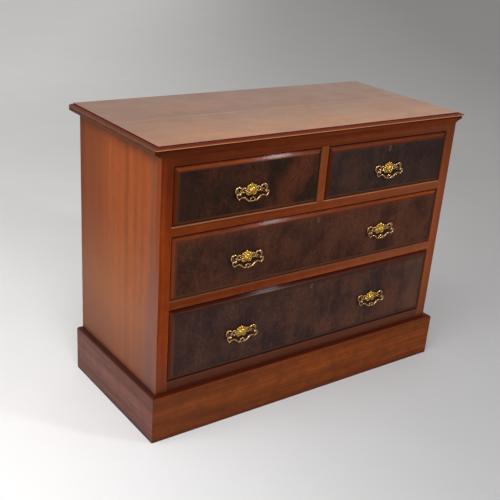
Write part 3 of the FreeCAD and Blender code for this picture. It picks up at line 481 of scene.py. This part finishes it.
finishes = {
    "top": wood(
        "mahogany_top", "x", (122, 67, 28), (134, 76, 34), (148, 88, 42), board=1.0, band=0.045,
        streak=0.24, ribbon=0.08, pores=0.6, dull=0.42, uneven=0.08, coat=0.85, coat_dull=0.30, sheen=0.2,
        boards=("y", 0.6, 0.008), worn=(168, 92, 44), wear=0.8, wear_width=0.0018,
        washes=(("y", 0.05, -0.20, (196, 124, 64), 0.5), ("y", 0.04, 0.24, (114, 50, 6), 0.36),
                ("x", -0.25, -0.53, (112, 70, 40), 0.38)),
        faded=((112, 84, 56), 0.42, (9.0, 26.0, 26.0)),
        seam=("y", 0.0079, (196, 150, 110)),
        # Painted light and shade on the moulded edge: its upper slope darker, a painted highlight on its
        # forward faces, painted shade underneath, and darker ends; groove paints shade in the quirk.
        facing=(("z", 0.97, 0.90, (98, 38, 2), 0.94), ("z", 0.70, 0.40, (222, 146, 94), 0.9),
                ("z", -0.3, -0.6, (60, 24, 8), 0.9), ("x", 0.2, 0.5, (86, 46, 22), 0.88)),
        groove=(0.8271, (82, 14, 0))),
    "side": wood(
        "mahogany_side", "z", (128, 62, 23), (142, 70, 27), (158, 79, 31), board=2.0, band=0.036,
        streak=0.10, ribbon=0.06, dull=0.42, washes=SIDE_WASHES, coat=0.02, sheen=0.05,
        # A greyer painted floor reflection on the low front part of the side.
        facing=((*ENDS, (80, 74, 80), 0.42, ("y", -0.10, -0.21), ("z", 0.64, 0.36)),)),
    "stile": wood(
        "mahogany_stile", "z", (98, 34, 2), (120, 45, 7), (136, 56, 11), board=3.0, band=0.02,
        worn=(150, 80, 38), **FRAMING,
        washes=FRONT_WASHES + (("x", 0.487, 0.500, (92, 44, 22), 0.36),),
        # The side faces take the side's tone, paler and greyer low down as a painted floor reflection; the
        # inner faces beside the drawers have painted shade.
        facing=((*ENDS, (122, 52, 14), 0.9), (*ENDS, (124, 80, 64), 0.75, ("z", 0.62, 0.40)),
                (*ENDS, (108, 64, 42), 0.9, ("x", -0.505, -0.495), ("x", 0.505, 0.495)))),
    "divider": wood(
        "mahogany_divider", "z", (104, 48, 16), (120, 58, 24), (136, 70, 34), board=3.3, band=0.02,
        # A painted highlight on the divider's side faces.
        worn=(150, 84, 44), **FRAMING, facing=((*ENDS, (146, 88, 56), 0.9),)),
    "rail": wood(
        "mahogany_rail", "x", (90, 34, 5), (109, 45, 11), (127, 57, 18), board=4.0, band=0.016,
        worn=(160, 92, 50), **FRAMING, washes=RAIL_WASHES,
        # A painted highlight on the rails' upward faces, the ledges below the drawers, stronger higher up.
        facing=(("z", 0.6, 0.95, (186, 130, 96), 0.9, ("z", 0.28, 0.62)),)),
    "frieze": wood(
        "mahogany_frieze", "x", (72, 24, 4), (85, 33, 8), (102, 42, 13), board=5.0, band=0.016,
        # Deeper painted shade under the top's edge.
        streak=0.18, ribbon=0.08, coat=0.02, sheen=0.04, shade=1.2, reach=0.01, wear=0.25,
        washes=(("x", -0.02, -0.36, (46, 12, 0), 0.36),)),
    "cleat": wood(
        "mahogany_end_strip", "y", (74, 37, 13), (90, 47, 18), (108, 59, 26), board=6.0, band=0.018,
        streak=0.24, ribbon=0.10, coat=0.03, sheen=0.05, worn=(164, 118, 88), wear=0.6,
        faded=((66, 38, 25), 0.6, (8.0, 30.0, 30.0)), facing=(("y", 0.6, 0.9, (66, 20, 10), 0.9),)),
    "plinth": wood(
        "mahogany_plinth", "x", (96, 43, 9), (110, 51, 12), (124, 60, 16), board=7.0, band=0.03,
        streak=0.3, ribbon=0.16, dull=0.42, coat=0.04, sheen=0.06, wear=0.2, worn=(140, 70, 34),
        washes=(("x", 0.3, -0.54, (86, 46, 28), 0.35),),
        # The slope of the rounded top is tinted orange; the flat ledge on top has painted shade, with old wax
        # and dust.
        facing=(("z", 0.12, 0.4, (104, 42, 18), 0.6), ("z", 0.55, 0.85, (60, 19, 6), 0.88))),
    "plinth_side": wood(
        "mahogany_plinth_end", "y", (78, 40, 28), (98, 54, 41), (118, 70, 56), board=8.0, band=0.03,
        streak=0.2, ribbon=0.14, dull=0.45, coat=0.05, sheen=0.15,
        # The flat ledge on top has painted shade, with old wax and dust.
        facing=(("z", 0.55, 0.85, (50, 20, 10), 0.8),)),
    "front_upper": wood(
        "mahogany_upper_fronts", "x", (102, 37, 0), (123, 47, 0), (141, 58, 3), board=9.0, **FRONT,
        ribbon=0.12, coat=0.12, sheen=0.03, worn=(176, 110, 58),
        washes=(("x", -0.25, 0.0, (54, 12, 0), 0.55),),
        # Painted light and shade on the bevels: darker side bevels, painted shadow lines in the gaps along
        # the top edge and beside the divider, and painted shade on the foot bevels, which face down.
        facing=((*LEFT_BEVEL, (56, 16, 0), 0.54), (*RIGHT_BEVEL, (44, 26, 19), 0.92),
                (*LEFT_BEVEL, (50, 16, 2), 0.45, ("x", -0.40, -0.45)),
                (*LEFT_BEVEL, (14, 4, 0), 0.9, ("x", 0.017, 0.013), ("x", 0.0, 0.005)),
                (*TOP_BEVEL, (40, 12, 2), 0.75, ("z", 0.7725, 0.7752)),
                (*FOOT_BEVEL, (74, 46, 30), 0.75),
                (*FOOT_BEVEL, (44, 24, 14), 0.5, ("x", -0.22, -0.36)))),
    "front_middle": wood(
        "mahogany_middle_front", "x", (86, 27, 0), (108, 39, 1), (126, 50, 5), board=10.0, **FRONT,
        ribbon=0.14, coat=0.09, sheen=0.03, worn=(170, 106, 60),
        washes=(("x", 0.12, 0.45, (158, 66, 2), 0.42),),
        # Painted light and shade on the bevels: a paler left bevel, a darker right bevel, painted shadow
        # lines in the gaps along the left and top edges, and painted shade on the foot bevel.
        facing=((*LEFT_BEVEL, (108, 54, 32), 0.6), (*RIGHT_BEVEL, (62, 42, 32), 0.88),
                (*LEFT_BEVEL, (20, 6, 2), 0.9, LEFT_RIM),
                (*TOP_BEVEL, (48, 12, 2), 0.75, ("z", 0.5885, 0.5912)),
                (*FOOT_BEVEL, (78, 52, 40), 0.75))),
    # A darker copy of the upper fronts, painted shade for the darker reflections on the lowest drawer.
    "front_lower": wood(
        "mahogany_lower_front", "x", (54, 6, 0), (68, 12, 0), (84, 20, 0), board=11.0, **FRONT,
        ribbon=0.14, coat=0.072, sheen=0.02, worn=(96, 50, 34), wear=0.15,
        washes=(("x", 0.0, 0.3, (100, 36, 4), 0.52),),
        # Painted light and shade on the bevels: paler side bevels, painted shadow lines in the gaps along the
        # left and top edges, a darker top bevel, and a greyer foot bevel.
        facing=((*LEFT_BEVEL, (88, 44, 30), 0.6), (*RIGHT_BEVEL, (84, 58, 46), 0.65),
                (*LEFT_BEVEL, (16, 4, 2), 0.9, LEFT_RIM),
                (*TOP_BEVEL, (46, 8, 0), 0.4), (*TOP_BEVEL, (34, 6, 0), 0.75, ("z", 0.382, 0.385)),
                (*FOOT_BEVEL, (78, 58, 52), 0.8))),
    "lining_side": wood(
        "lining_side", "y", (150, 112, 72), (172, 134, 90), (192, 156, 108), board=12.0, **LINING),
    "lining_back": wood(
        "lining_back", "x", (146, 108, 70), (168, 130, 88), (188, 152, 106), board=13.0, **LINING),
    "lining_bottom": wood(
        "lining_bottom", "x", (152, 116, 76), (176, 140, 96), (196, 162, 116), board=14.0, band=0.022,
        streak=0.16, ribbon=0.04, pores=0.1, dull=0.72, coat=0.0, sheen=0.3,
        boards=("y", 0.105, -0.2), wear=0.0, shade=0.45, grime_and_shade=(70, 46, 28)),
    "deal_x": wood(
        "softwood_across", "x", (152, 108, 62), (180, 138, 88), (202, 164, 112), board=15.0, **DEAL),
    "deal_y": wood(
        "softwood_along", "y", (150, 106, 62), (178, 136, 86), (200, 162, 110), board=16.0, **DEAL),
    "deal_back": wood(
        "softwood_back_boards", "z", (130, 94, 60), (148, 110, 74), (164, 126, 88), board=17.0, band=0.013,
        streak=0.14, ribbon=0.04, pores=0.1, dull=0.8, coat=0.0, sheen=0.2, boards=("x", 0.2032, -0.508),
        wear=0.35, worn=(190, 152, 108), shade=0.6, grime_and_shade=(50, 34, 22), relief=0.0006),
    "veneer_upper_left": veneer(
        "burr_upper_left", 1.0, (28, 17, 13), (39, 23, 16), (74, 38, 21), (-0.36, -0.05, 0.8),
        ("x", -0.38, -0.46, (36, 21, 17), 0.5), ("x", -0.4605, -0.4715, (70, 36, 18), 0.85),
        ("z", 0.7575, 0.7642, (92, 42, 16), 0.8)),
    "veneer_upper_right": veneer(
        "burr_upper_right", 2.0, (34, 24, 23), (44, 31, 28), (66, 42, 32), (0.35, 0.0, 0.4),
        ("x", 0.40, 0.466, (38, 28, 27), 0.5), ("x", 0.030, 0.0235, (58, 25, 14), 0.8),
        ("z", 0.752, 0.763, (86, 36, 12), 0.8)),
    "veneer_middle": veneer(
        "burr_middle", 3.0, (40, 22, 17), (54, 31, 22), (84, 49, 32), (-0.5, 0.45, 0.5),
        ("x", -0.461, -0.4715, (86, 41, 21), 0.85), ("z", 0.558, 0.579, (86, 38, 16), 0.6)),
    "veneer_lower": veneer(
        "burr_lower", 4.0, (38, 26, 27), (52, 34, 31), (86, 53, 38), (-0.5, 0.40, 0.5),
        ("x", -0.42, -0.46, (46, 30, 26), 0.5), ("x", -0.461, -0.4715, (76, 47, 37), 0.85),
        ("x", 0.36, 0.45, (84, 58, 44), 0.5), ("z", 0.352, 0.373, (54, 26, 16), 0.75)),
    "brass": metal("handle_brass", (203, 162, 110), (120, 84, 46), (18, 7, 2), dull=0.16, reach=0.005),
    "boss_brass": metal("handle_boss_brass", (222, 178, 80), (148, 110, 44), (16, 7, 1),
                        dull=0.14, reach=0.0054),
    "lock_brass": metal("lock_brass", (124, 108, 90), (84, 72, 58), (40, 28, 20), dull=0.45, reach=0.004),
    "lock_dark": metal("lock_brass_dark", (66, 46, 32), (48, 32, 22), (28, 18, 12), dull=0.5, reach=0.004),
    "iron": metal("iron_nail", (92, 84, 78), (96, 56, 36), (40, 26, 20), dull=0.5, reach=0.002),
}

plain_uses = {
    "top": ["top_boards"],
    "side": ["side_left", "side_right"],
    "stile": ["front_stiles"],
    "divider": ["drawer_divider"],
    "rail": ["front_rails"],
    "frieze": ["top_frieze"],
    "cleat": ["top_cleats"],
    "plinth": ["plinth_front"],
    "plinth_side": ["plinth_left", "plinth_right"],
    "deal_x": ["drawer_stops", "rear_rails", "plinth_glue_blocks"],
    "deal_y": ["drawer_runners", "drawer_guides"],
    "deal_back": ["back_boards"],
    "iron": ["back_nails"],
    "front_upper": ["drawer_upper_left_front", "drawer_upper_right_front"],
    "front_middle": ["drawer_middle_front"],
    "front_lower": ["drawer_lower_front"],
}
drawer_uses = {
    "sides": "lining_side", "back": "lining_back", "bottom": "lining_bottom", "handle_posts": "brass",
    "lock_bolt": "lock_brass",
}


def dress(node, finish):
    """Give a node's mesh its one finish."""
    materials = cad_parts[node].data.materials
    materials.clear()
    materials.append(finishes[finish])


for finish, nodes in plain_uses.items():
    for node in nodes:
        dress(node, finish)
for drawer in DRAWERS:
    for piece, finish in drawer_uses.items():
        dress("drawer_" + drawer + "_" + piece, finish)
    dress("drawer_" + drawer + "_field", "veneer_" + drawer)
    dress("drawer_" + drawer + "_lock", "lock_dark" if drawer == "upper_left" else "lock_brass")


# Cast handles, drawn in millimetres about their own centre with the front towards minus Y

def mesh_of(mass, name):
    """The loose shapes as a mesh."""
    mesh = bpy.data.meshes.new(name)
    mass.to_mesh(mesh)
    mass.free()
    return mesh


def stand(name, data):
    """A new object in the scene."""
    made = bpy.data.objects.new(name, data)
    bpy.context.scene.collection.objects.link(made)
    return made


def rod(mass, points, closed=False):
    """Add a smooth tapering rod. Each point is x, y, z and the thickness there."""
    curve = bpy.data.curves.new("rod", "CURVE")
    curve.dimensions = "3D"
    curve.bevel_depth = 1.0
    curve.bevel_resolution = 4
    curve.resolution_u = 6
    curve.use_fill_caps = True
    line = curve.splines.new("NURBS")
    line.points.add(len(points) - 1)
    for knot, (x, y, z, thick) in zip(line.points, points):
        knot.co = (x, y, z, 1.0)
        knot.radius = thick / 2
    line.order_u = 3
    line.use_endpoint_u = not closed
    line.use_cyclic_u = closed
    holder = bpy.data.objects.new("rod", curve)
    mesh = bpy.data.meshes.new_from_object(holder)
    mass.from_mesh(mesh)
    bpy.data.objects.remove(holder)
    bpy.data.meshes.remove(mesh)
    bpy.data.curves.remove(curve)


def ball(mass, x, y, z, radius, squash=(1.0, 1.0, 1.0)):
    """Add a ball, or an egg with squash."""
    bmesh.ops.create_icosphere(mass, subdivisions=3, radius=radius,
                               matrix=Matrix.Translation((x, y, z)) @ Matrix.Diagonal((*squash, 1.0)))


def disc(mass, x, z, radius_x, radius_z, back, front):
    """Add an upright oval disc with a slightly drawn-in front."""
    place = (Matrix.Translation((x, (back + front) / 2, z)) @ Matrix.Diagonal((radius_x, 1.0, radius_z, 1.0))
             @ Matrix.Rotation(math.pi / 2, 4, "X"))
    bmesh.ops.create_cone(mass, cap_ends=True, segments=48, radius1=1.0, radius2=0.93,
                          depth=back - front, matrix=place)


HOOP_KNOTS = 16
HOOP_GROW = 1.02


def hoop(mass, x, y, z, radius_x, radius_z, thick):
    """Add a closed ring in the plane of the handle. Its line runs inside the knots, so they stand out."""
    points = []
    for index in range(HOOP_KNOTS):
        angle = 2 * math.pi * index / HOOP_KNOTS
        points.append((x + HOOP_GROW * radius_x * math.cos(angle), y,
                       z + HOOP_GROW * radius_z * math.sin(angle), thick))
    rod(mass, points, closed=True)


def half(mass, side, shapes):
    """Add the shapes drawn for the right half, or mirror them to the left where side is -1."""
    for kind, *points in shapes:
        points = [(side * x, y, z, size) for x, y, z, size in points]
        if kind == "ball":
            ball(mass, *points[0])
        else:
            rod(mass, points, closed=kind == "loop")


def cast(mass, name, grain, keep):
    """Run the loose shapes together as one casting, and return its mesh in millimetres.
    grain is the size of the cells that they are run together in, keep the share of the faces kept."""
    mesh = mesh_of(mass, name)
    holder = stand(name, mesh)
    fused = holder.modifiers.new("fuse", "REMESH")
    fused.mode = "VOXEL"
    fused.voxel_size = grain
    soft = holder.modifiers.new("soften", "SMOOTH")
    soft.factor = 0.5
    soft.iterations = 3
    lean = holder.modifiers.new("lean", "DECIMATE")
    lean.ratio = keep
    casting = bpy.data.meshes.new_from_object(holder.evaluated_get(bpy.context.evaluated_depsgraph_get()))
    bpy.data.objects.remove(holder)
    bpy.data.meshes.remove(mesh)
    return casting


PETAL_COUNT, RIB_COUNT = 12, 8
PETAL_RING_X, PETAL_RING_Z, PETAL_WIDE = 10.6, 9.2, 1.12
RIB_WIDE, RIB_TALL = 1.10, 0.98
# Points of one petal and one rib: turn past its own angle, reach, y and thickness
PETAL = ((-0.10, 0.0, -4.2, 3.2), (0.02, 2.4, -4.8, 4.6), (0.16, 4.2, -3.6, 4.0), (0.30, 4.9, -2.0, 2.0))
RIB = ((0.0, 1.2, -8.3, 1.5), (0.25, 3.2, -8.1, 2.3), (0.55, 5.4, -7.2, 2.7), (0.85, 7.3, -5.9, 2.7),
       (1.10, 8.6, -4.6, 2.1))
CREST = ((0, -3.0, 9.0, 6.0), (0, -4.0, 12.2, 5.4), (0, -3.6, 15.0, 4.0), (0, -2.8, 16.8, 2.6))
# Right half of the plate: crest leaves, lower scroll, the two links to the wing, the wing and its scrolls.
# Each point is x, y, z and the thickness, or the radius of a ball.
PLATE_HALF = (
    ("rod", (2.8, -2.6, 9.4, 3.6), (5.8, -3.4, 12.4, 4.0), (5.0, -3.2, 14.8, 3.0), (3.0, -3.0, 14.2, 2.4)),
    ("rod", (7.4, -2.6, 9.0, 3.6), (11.6, -3.2, 11.6, 3.8), (14.2, -3.0, 9.8, 3.0), (13.4, -2.8, 7.8, 2.4)),
    ("rod", (15.4, -2.6, -3.4, 2.6), (16.0, -3.2, -8.4, 4.4), (11.4, -3.6, -13.2, 5.2),
     (5.6, -3.2, -13.8, 4.0), (3.2, -3.0, -12.0, 2.8)),
    ("ball", (3.4, -3.0, -11.8, 2.0)),
    ("rod", (15.0, -2.4, 3.0, 4.2), (19.6, -3.3, 6.0, 4.8), (24.2, -3.3, 7.6, 4.6), (27.4, -2.8, 5.0, 3.6),
     (25.8, -2.4, 2.0, 3.0)),
    ("rod", (15.4, -2.4, -2.4, 4.0), (19.8, -3.2, -4.8, 4.6), (24.6, -3.2, -6.4, 4.4),
     (29.2, -2.6, -4.0, 3.8)),
    ("ball", (21.4, -3.2, 0.8, 2.7)),
    ("loop", (29.2, -2.5, 0.0, 4.2), (31.2, -3.0, 6.4, 4.6), (37.4, -3.3, 9.8, 5.2), (45.4, -3.2, 9.6, 5.2),
     (50.4, -2.8, 4.4, 4.8), (50.2, -2.5, -3.2, 4.4), (45.6, -2.2, -8.4, 4.4), (37.6, -2.2, -9.0, 4.4),
     (31.2, -2.4, -6.0, 4.2)),
    ("rod", (30.6, -2.4, -3.6, 3.4), (34.2, -3.0, -4.2, 3.4), (36.2, -3.0, -1.6, 3.2), (34.6, -2.8, 0.8, 2.8),
     (32.6, -2.6, 0.2, 2.4)),
    ("rod", (48.0, -2.8, 6.4, 3.4), (44.6, -3.2, 4.6, 3.2), (43.6, -3.0, 2.0, 2.8), (45.6, -2.8, 1.4, 2.2)),
    ("rod", (36.0, -3.0, 10.6, 3.0), (40.4, -3.2, 12.0, 2.8), (44.2, -2.8, 12.0, 1.6)),
)
POST_X, POST_Z, POST_SEAT = 42.0, -6.0, 5.5


def plate_casting():
    """The pierced rococo plate: gadrooned boss, swirled petals, crest, lower scrolls and two open wings."""
    mass = bmesh.new()
    disc(mass, 0, 0, 15.6, 12.8, 0.0, -3.0)
    for index in range(PETAL_COUNT):
        angle = 2 * math.pi * (index + 0.5) / PETAL_COUNT
        rod(mass, [((PETAL_RING_X + reach) * math.cos(angle + turn) * PETAL_WIDE, y,
                    (PETAL_RING_Z + reach) * math.sin(angle + turn), thick)
                   for turn, reach, y, thick in PETAL])
    hoop(mass, 0, -4.9, 0, 10.6, 9.0, 1.8)
    ball(mass, 0, -3.6, 0, 1.0, (9.4, 5.2, 8.2))
    for index in range(RIB_COUNT):
        angle = 2 * math.pi * index / RIB_COUNT
        rod(mass, [(reach * RIB_WIDE * math.cos(angle + turn), y,
                    reach * RIB_TALL * math.sin(angle + turn), thick)
                   for turn, reach, y, thick in RIB])
    ball(mass, 0, -8.1, 0, 1.4)
    rod(mass, CREST)
    ball(mass, 0, -2.7, 17.6, 1.6)
    for side in (-1, 1):
        half(mass, side, PLATE_HALF)
        disc(mass, side * POST_X, POST_Z, POST_SEAT, POST_SEAT, 0.0, -2.6)
    return cast(mass, "plate", 0.36, 0.42)


BAIL_STANDOFF = -11.0
# Right half of the bail: pin, leg to the cusp, and shoulder to the bow. Each point is x, z and the size.
BAIL_HALF = (
    ("rod", (39.8, -6.0, 3.1), (44.0, -6.0, 3.1), (47.6, -6.0, 3.1)),
    ("ball", (48.3, -6.0, 2.1)),
    ("rod", (48.0, -6.0, 3.4), (51.2, -6.2, 3.2), (51.0, -11.4, 3.0), (47.4, -16.6, 3.8), (43.2, -20.4, 3.2)),
    ("ball", (43.4, -20.1, 2.0)),
    ("rod", (43.6, -20.2, 3.2), (39.6, -17.2, 2.8), (34.4, -15.8, 3.6), (28.4, -15.6, 4.0),
     (22.8, -18.8, 5.0), (16.4, -25.2, 4.8), (10.4, -28.4, 3.8), (4.6, -28.6, 2.8), (-0.6, -28.6, 2.4)),
    ("ball", (29.4, -15.9, 2.2)),
    ("ball", (8.4, -27.4, 1.9)),
)


def bail_casting():
    """The bail at rest: two pins, legs to a cusp, arched shoulders, broad curves and a ring in the bow."""
    mass = bmesh.new()
    shapes = [(kind, *((x, BAIL_STANDOFF, z, size) for x, z, size in points)) for kind, *points in BAIL_HALF]
    for side in (-1, 1):
        half(mass, side, shapes)
    hoop(mass, 0, BAIL_STANDOFF, -24.0, 7.4, 4.8, 3.2)
    return cast(mass, "bail", 0.32, 0.45)


def placed(name, casting, places, body, node, boss_reach=0.0):
    """Put a copy of the casting at each place as one piece, dress it and let it stand for its node.
    Within boss_reach of its middle a plate has the deeper colour of the boss."""
    mass = bmesh.new()
    for x, y, z in places:
        copy = casting.copy()
        copy.transform(Matrix.Translation((x, y, z)) @ Matrix.Scale(MM, 4))
        mass.from_mesh(copy)
        bpy.data.meshes.remove(copy)
    for face in mass.faces:
        face.smooth = True
    mesh = mesh_of(mass, name)
    mesh.materials.append(finishes["brass"])
    if boss_reach:
        mesh.materials.append(finishes["boss_brass"])
        for face in mesh.polygons:
            if min(abs(face.center.x - x) for x, _, _ in places) < boss_reach:
                face.material_index = 1
    piece = stand(name, mesh)
    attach(piece, body)
    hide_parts(node)


FIELD_FACE = -0.2295
HANDLE_X = 0.2475
BOSS_REACH = 0.0165
HANDLES = {
    "upper_left": [(-HANDLE_X, 0.689, "")],
    "upper_right": [(HANDLE_X, 0.689, "")],
    "middle": [(-HANDLE_X, 0.499, "_left"), (HANDLE_X, 0.499, "_right")],
    "lower": [(-HANDLE_X, 0.2705, "_left"), (HANDLE_X, 0.2705, "_right")],
}
one_plate, one_bail = plate_casting(), bail_casting()
for drawer, handles in HANDLES.items():
    body = "drawer_" + drawer
    placed("cast_plates_" + drawer, one_plate, [(x, FIELD_FACE, z) for x, z, _ in handles],
           body, body + "_handle_plates", boss_reach=BOSS_REACH)
    for x, z, ending in handles:
        node = body + "_bail" + ending
        placed("cast_bail_" + drawer + ending, one_bail, [(x, FIELD_FACE, z)], node, node)


# Studio: floor, soft light, camera

FLOOR_REACH = 20.0
RIGHTWARD, OUTWARD = (0.81, -0.58, 0.0), (0.58, 0.81, 0.0)
FAR_GLOW = (0.15, 0.15, 0.15)


def studio_floor():
    """A wide pale floor with painted light: brighter to the left, where the lamps stand, darker to the right,
    and a painted glow far out.
    """
    mass = bmesh.new()
    bmesh.ops.create_grid(mass, x_segments=8, y_segments=8, size=FLOOR_REACH)
    mesh = mesh_of(mass, "studio_floor")
    floor = stand("studio_floor", mesh)
    material, bench, shader, where = finish_base("studio_floor")
    dapple = bench.cloudy(where["Object"], 3.0, detail=3.0)
    colour = bench.ramp(dapple, (0.3, (0.80, 0.805, 0.81, 1.0)), (0.7, (0.82, 0.825, 0.83, 1.0)))
    rightward = bench.vector("DOT_PRODUCT", where["Object"], RIGHTWARD)
    outward = bench.vector("DOT_PRODUCT", where["Object"], OUTWARD)
    # Painted light: the floor's colour fades from the left to the right.
    near_tone = bench.remap(rightward, -0.8, 0.9, 0.99, 0.52, soft=True)
    middle_tone = bench.remap(rightward, -0.4, 1.2, 1.0, 0.58, soft=True)
    far_tone = bench.remap(rightward, -1.9, 2.4, 1.0, 0.6)
    level = bench.between(bench.remap(outward, -0.6, 0.8, soft=True), near_tone, middle_tone)
    level = bench.between(bench.remap(outward, 0.9, 4.0, soft=True), level, far_tone)
    seen = bench.node("ShaderNodeLightPath").outputs
    straight = bench.maths("MAXIMUM", seen["Is Glossy Ray"], seen["Is Transmission Ray"])
    straight = bench.maths("MAXIMUM", seen["Is Camera Ray"], straight)
    # A painted glow far out, seen by the camera and in reflections.
    glow = bench.times(bench.remap(outward, 1.0, 4.6, soft=True),
                       bench.remap(rightward, 0.6, -1.9, 0.07, 1.0, soft=True))
    bench.fill(shader.inputs, {
        "Base Color": bench.scale(colour, level),
        "Emission Color": bench.scale(FAR_GLOW, bench.times(glow, straight)),
        "Emission Strength": 1.0,
        "Roughness": 0.9,
        "Specular IOR Level": 0.1})
    mesh.materials.append(material)


def studio_world():
    """Pale all round near the horizon and dimmer overhead."""
    world = bpy.data.worlds.new("studio")
    world.use_nodes = True
    bpy.context.scene.world = world
    bench = Bench(world.node_tree)
    height = bench.along(bench.node("ShaderNodeTexCoord").outputs["Generated"], "z")
    colour = bench.ramp(height, (0.0, (0.63, 0.61, 0.59, 1.0)), (0.35, (0.56, 0.54, 0.52, 1.0)),
                        (1.0, (0.31, 0.30, 0.29, 1.0)))
    bench.fill(world.node_tree.nodes["Background"].inputs, {"Color": colour, "Strength": 1.0})


def soft_box(name, place, target, width, height, power, colour=(1.0, 1.0, 1.0), upright=(0.0, 0.0, 1.0)):
    """A rectangular lamp behind cloth that faces a point of the chest, its height along upright."""
    lamp = bpy.data.lights.new(name, "AREA")
    lamp.shape = "RECTANGLE"
    lamp.size, lamp.size_y = width, height
    lamp.energy = power
    lamp.color = colour
    away = (Vector(place) - Vector(target)).normalized()
    across = Vector(upright).cross(away).normalized()
    turn = Matrix((across, away.cross(across), away)).transposed().to_4x4()
    stand(name, lamp).matrix_world = Matrix.Translation(place) @ turn


# The camera as fitted to the corners of the chest. Its shift is a share of the picture's width.
SENSOR_WIDTH, FOCAL_LENGTH, CENTRE_SHIFT, SIGHT = 36.0, 60.26, 0.06, 200.0
CAMERA_PLACE = (-1.5013, -1.9009, 1.3744)
CAMERA_FORWARD, CAMERA_RIGHT = (0.55207, 0.72468, -0.41238), (0.81229, -0.57905, 0.06988)


def studio_camera():
    lens = bpy.data.cameras.new("camera")
    lens.sensor_fit = "HORIZONTAL"
    lens.sensor_width = SENSOR_WIDTH
    lens.lens = FOCAL_LENGTH
    lens.shift_y = CENTRE_SHIFT
    lens.clip_end = SIGHT
    forward = Vector(CAMERA_FORWARD).normalized()
    right = Vector(CAMERA_RIGHT)
    right = (right - forward * right.dot(forward)).normalized()
    turn = Matrix((right, right.cross(forward), -forward)).transposed().to_4x4()
    camera = stand("camera", lens)
    camera.matrix_world = Matrix.Translation(CAMERA_PLACE) @ turn
    bpy.context.scene.camera = camera


studio_floor()
studio_world()
soft_box("overhead_box", (-1.6, -0.706, 3.1), (-0.4, -0.106, 0.3), width=2.2, height=2.2, power=52.0)
soft_box("front_strip", (1.545, -2.336, 1.68), (-0.16, -0.226, 0.58), width=0.12, height=1.0, power=26.0,
         colour=(0.95, 0.94, 1.0), upright=(0.13, 0.34, 0.93))
soft_box("front_panel", (-1.3, -3.206, 2.5), (-0.2, -0.226, 0.4), width=1.6, height=1.6, power=44.0)
soft_box("left_panel", (-3.2, 0.394, 1.8), (-0.5, -0.006, 0.4), width=1.8, height=1.8, power=34.0)
studio_camera()

bpy.context.scene.view_settings.view_transform = "Standard"
